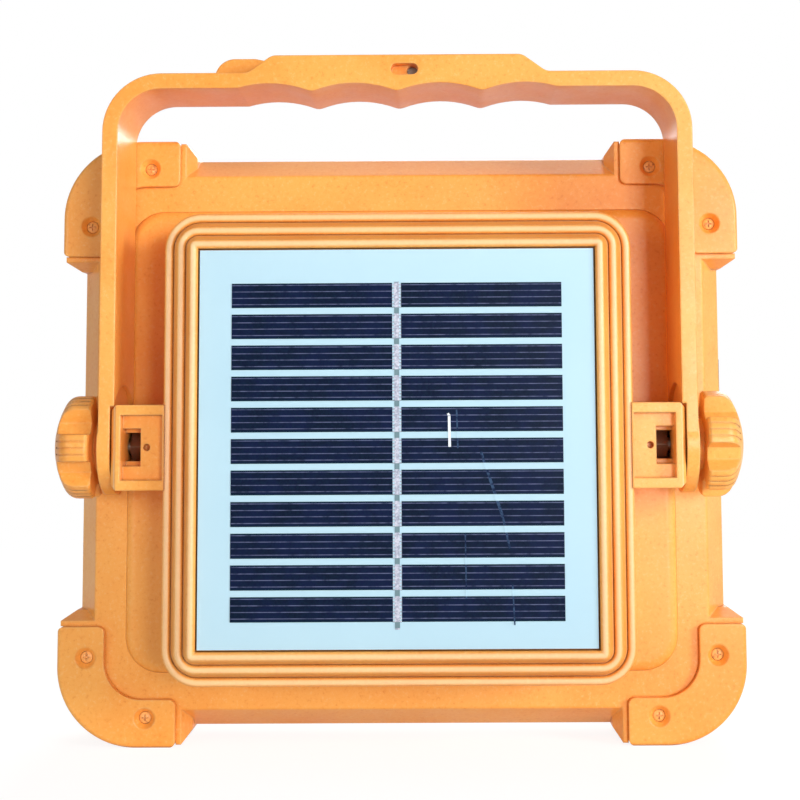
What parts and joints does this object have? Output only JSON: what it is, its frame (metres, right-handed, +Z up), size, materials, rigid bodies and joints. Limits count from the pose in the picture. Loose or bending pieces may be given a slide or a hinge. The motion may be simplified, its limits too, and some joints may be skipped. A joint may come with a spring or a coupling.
{
  "type": "rechargeable solar work light",
  "caption": "Square portable LED flood light with a solar panel in a stepped frame on its back, screw-on corner guards and a folding bail handle held by lobed clamp knobs.",
  "frame": {"origin": "on the ground plane, at the middle of the bounding box's bottom face", "axes": "+Z up with the light standing on its lower corner guards, +Y the way the lamp shines, -Y the way the solar panel faces, +X to the right seen from behind the light, facing the panel"},
  "size_m": [0.2074, 0.0706, 0.2048],
  "materials": {
    "orange_plastic": "fine matte moulded ABS",
    "seal_rubber": "matte",
    "clear_lens": "clear",
    "white_reflector": "satin white",
    "board_aluminium": "white solder mask on aluminium",
    "led_resin": "phosphor resin",
    "green_board": "solder mask",
    "black_plastic": "satin",
    "window_plastic": "translucent white",
    "nickel_steel": "nickel plated",
    "cell_wrap": "blue shrink wrap over the cell's can",
    "pale_laminate": "pale sheet under clear resin",
    "blue_cells": "dark navy silicon",
    "tinned_ribbon": "tinned copper",
    "screw_steel": "zinc plated",
    "painted_screw": "steel painted in the housing's orange"
  },
  "bodies": {
    "light": {"rear_housing": "orange_plastic", "front_bezel": "orange_plastic", "housing_seal": "seal_rubber", "lens": "clear_lens", "lens_seal": "seal_rubber", "reflector": "white_reflector", "led_board": "board_aluminium", "led_packages": "led_resin", "control_board": "green_board", "push_switch": "black_plastic", "charge_window": "window_plastic", "port_plate": "orange_plastic", "usb_socket": "nickel_steel", "charge_socket": "nickel_steel", "solar_box": "orange_plastic", "solar_box_seal": "seal_rubber", "solar_box_screws": "screw_steel", "solar_laminate": "pale_laminate", "solar_cells": "blue_cells", "busbar_ribbon": "tinned_ribbon", "battery_cells": "cell_wrap", "battery_cradle": "black_plastic", "battery_links": "nickel_steel", "guard_top_left": "orange_plastic", "guard_top_right": "orange_plastic", "guard_bottom_left": "orange_plastic", "guard_bottom_right": "orange_plastic", "guard_screws": "painted_screw", "left_nut": "screw_steel", "right_nut": "screw_steel"},
    "bail": {"handle": "orange_plastic", "hook_pin": "screw_steel"},
    "hook": {"hanging_hook": "orange_plastic"},
    "left_clamp": {"left_knob": "orange_plastic", "left_bolt": "screw_steel", "left_washer": "screw_steel"},
    "right_clamp": {"right_knob": "orange_plastic", "right_bolt": "screw_steel", "right_washer": "screw_steel"},
    "button": {"power_button": "black_plastic"},
    "flap": {"port_flap": "seal_rubber"}
  },
  "joints": [
    {"name": "handle_hinge", "type": "hinge", "parent": "light", "child": "bail", "pos_m": [0, -0.01155, 0.09], "axis": [1, 0, 0], "range_deg": [0, 180]},
    {"name": "hook_hinge", "type": "hinge", "parent": "bail", "child": "hook", "pos_m": [0.0045, -0.01155, 0.1994], "axis": [0, 1, 0], "range_deg": [0, 90]},
    {"name": "left_knob_turn", "type": "hinge", "parent": "light", "child": "left_clamp", "pos_m": [-0.09, -0.01155, 0.09], "axis": [-1, 0, 0], "range_deg": [0, 360]},
    {"name": "right_knob_turn", "type": "hinge", "parent": "light", "child": "right_clamp", "pos_m": [0.09, -0.01155, 0.09], "axis": [1, 0, 0], "range_deg": [0, 360]},
    {"name": "button_press", "type": "slide", "parent": "light", "child": "button", "axis": [0, -1, 0], "range_m": [0, 0.001], "stiffness_N_per_m": 600, "springref_m": -0.0005},
    {"name": "flap_hinge", "type": "hinge", "parent": "light", "child": "flap", "pos_m": [0.1002, 0.03235, 0.0958], "axis": [0, 0, 1], "range_deg": [0, 120]}
  ]
}
